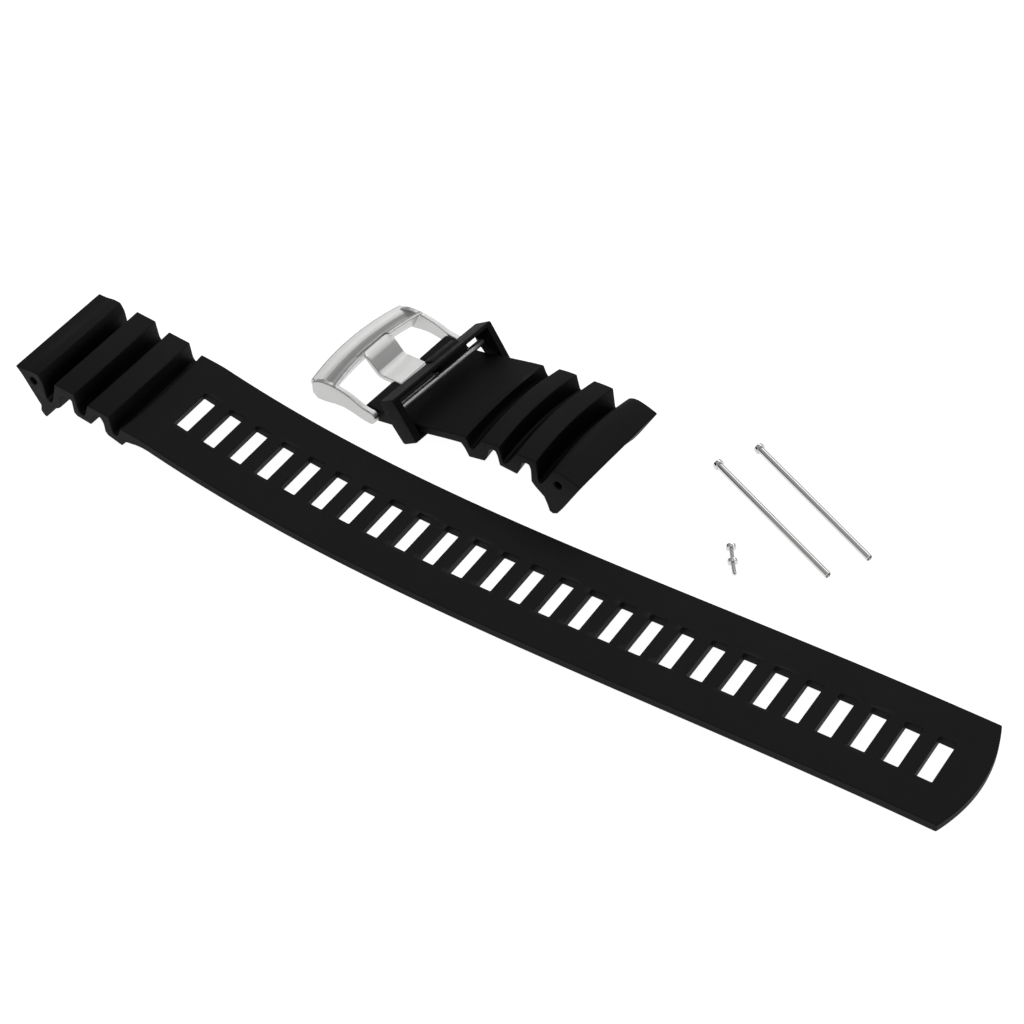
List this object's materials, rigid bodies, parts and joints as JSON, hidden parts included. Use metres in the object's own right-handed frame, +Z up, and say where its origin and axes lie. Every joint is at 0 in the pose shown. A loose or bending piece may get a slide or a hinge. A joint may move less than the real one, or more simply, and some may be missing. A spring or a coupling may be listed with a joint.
{
  "type": "dive computer strap kit",
  "caption": "Two-piece rubber strap kit for a wrist dive computer: slotted long strap, bellows short strap with steel buckle and keeper, loose lug pins and screws.",
  "frame": {"origin": "centre of the kit's bounding box, on the table it lies on", "axes": "+X along the long strap to its free end, +Y to the short strap's side, +Z up"},
  "size_m": [0.222, 0.0766, 0.0146],
  "materials": {
    "strap_rubber": "matte",
    "hard_black": "satin",
    "brushed_steel": "satin",
    "polished_steel": "polished"
  },
  "bodies": {
    "long_strap": {"long_strap": "strap_rubber"},
    "short_strap": {"short_strap": "strap_rubber", "spring_bar_tube": "polished_steel", "spring_bar_spring": "polished_steel"},
    "keeper": {"keeper": "hard_black", "keeper_bar": "polished_steel"},
    "buckle_frame": {"buckle_frame": "brushed_steel"},
    "buckle_tongue": {"buckle_tongue": "brushed_steel"},
    "spring_bar_tip_near": {"spring_bar_tip_near": "polished_steel"},
    "spring_bar_tip_far": {"spring_bar_tip_far": "polished_steel"},
    "lug_pin_a": {"lug_pin_a": "polished_steel"},
    "lug_pin_b": {"lug_pin_b": "polished_steel"},
    "lug_screw_a": {"lug_screw_a": "polished_steel"},
    "lug_screw_b": {"lug_screw_b": "polished_steel"}
  },
  "joints": [
    {"name": "short_strap_lift", "type": "slide", "parent": "long_strap", "child": "short_strap", "axis": [0, 0, 1], "range_m": [0, 0.1]},
    {"name": "buckle_frame_hinge", "type": "hinge", "parent": "short_strap", "child": "buckle_frame", "pos_m": [-0.04362, 0.01476, 0.00205], "axis": [0.068, 0.9977, 0], "range_deg": [0, 50]},
    {"name": "buckle_tongue_hinge", "type": "hinge", "parent": "buckle_frame", "child": "buckle_tongue", "pos_m": [-0.04362, 0.01476, 0.00205], "axis": [0.068, 0.9977, 0], "range_deg": [0, 40]},
    {"name": "keeper_slide", "type": "slide", "parent": "short_strap", "child": "keeper", "axis": [0.9531, -0.065, 0.2957], "range_m": [0, 0.008]},
    {"name": "bar_tip_near_slide", "type": "slide", "parent": "short_strap", "child": "spring_bar_tip_near", "axis": [0.068, 0.9977, 0], "range_m": [0, 0.0012], "stiffness_N_per_m": 200, "springref_m": -0.001, "deforming": ["spring_bar_spring"]},
    {"name": "bar_tip_far_slide", "type": "slide", "parent": "short_strap", "child": "spring_bar_tip_far", "axis": [-0.068, -0.9977, 0], "range_m": [0, 0.0012], "stiffness_N_per_m": 200, "springref_m": -0.001, "deforming": ["spring_bar_spring"]},
    {"name": "lug_pin_a_lift", "type": "slide", "parent": "long_strap", "child": "lug_pin_a", "axis": [0, 0, 1], "range_m": [0, 0.1]},
    {"name": "lug_pin_b_lift", "type": "slide", "parent": "long_strap", "child": "lug_pin_b", "axis": [0, 0, 1], "range_m": [0, 0.1]},
    {"name": "lug_screw_a_lift", "type": "slide", "parent": "long_strap", "child": "lug_screw_a", "axis": [0, 0, 1], "range_m": [0, 0.1]},
    {"name": "lug_screw_b_lift", "type": "slide", "parent": "long_strap", "child": "lug_screw_b", "axis": [0, 0, 1], "range_m": [0, 0.1]}
  ]
}
